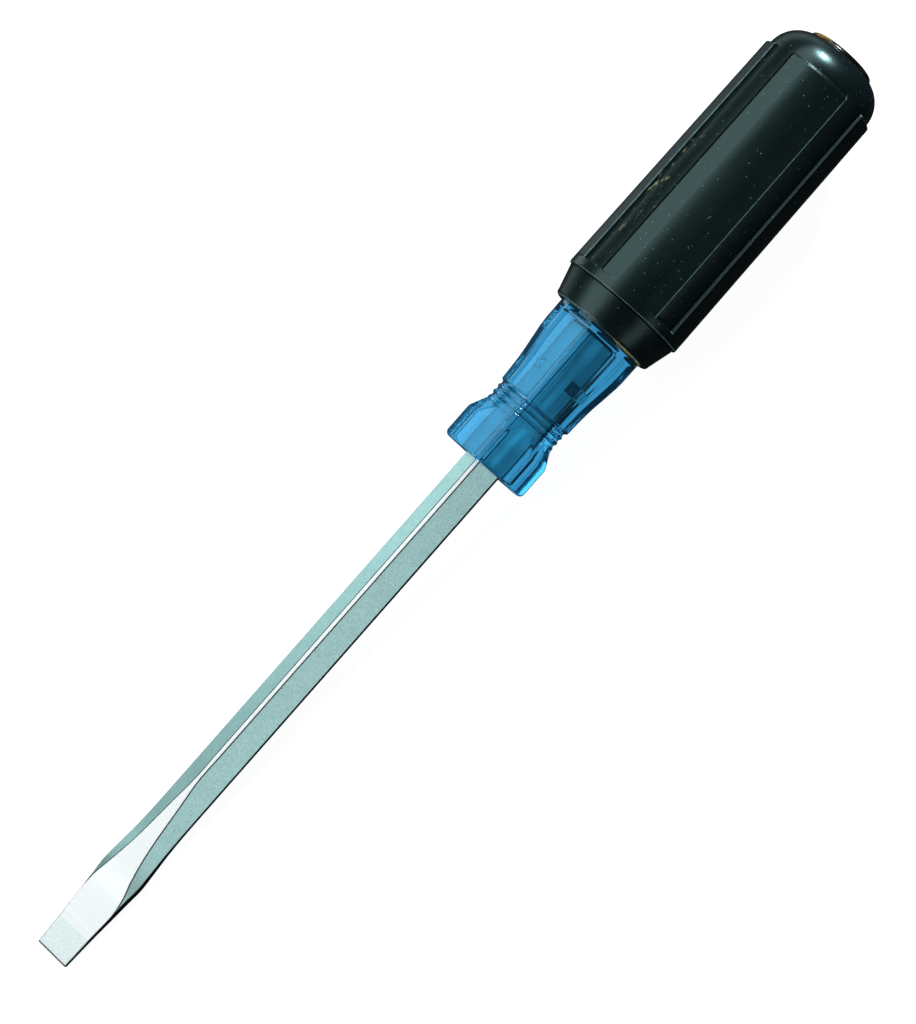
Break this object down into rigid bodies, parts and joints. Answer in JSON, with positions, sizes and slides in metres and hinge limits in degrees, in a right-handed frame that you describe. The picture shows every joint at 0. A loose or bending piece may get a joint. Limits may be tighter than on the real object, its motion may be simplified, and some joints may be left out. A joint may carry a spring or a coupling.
{
  "type": "slotted screwdriver",
  "caption": "Heavy-duty slotted screwdriver: square steel shank with a keystone tip, translucent blue handle, black rubber cushion sleeve and amber butt insert.",
  "frame": {"origin": "middle of the flat end of the tip, on the tool's axis", "axes": "+X along the tool's axis from the tip to the butt; +Z square to one of the tip's two ground flats; +Y across the tip's width"},
  "size_m": [0.2809, 0.0326, 0.0326],
  "materials": {
    "blade_steel": "satin plated, ground bright on the tip's flats",
    "blue_plastic": "polished, translucent",
    "grip_rubber": "satin moulded",
    "amber_plastic": "polished, translucent",
    "adhesive": "cured, slightly glossy"
  },
  "bodies": {
    "root": {"blade": "blade_steel", "handle_core": "blue_plastic", "cushion_grip": "grip_rubber", "butt_insert": "amber_plastic", "grip_adhesive": "adhesive"}
  },
  "joints": []
}
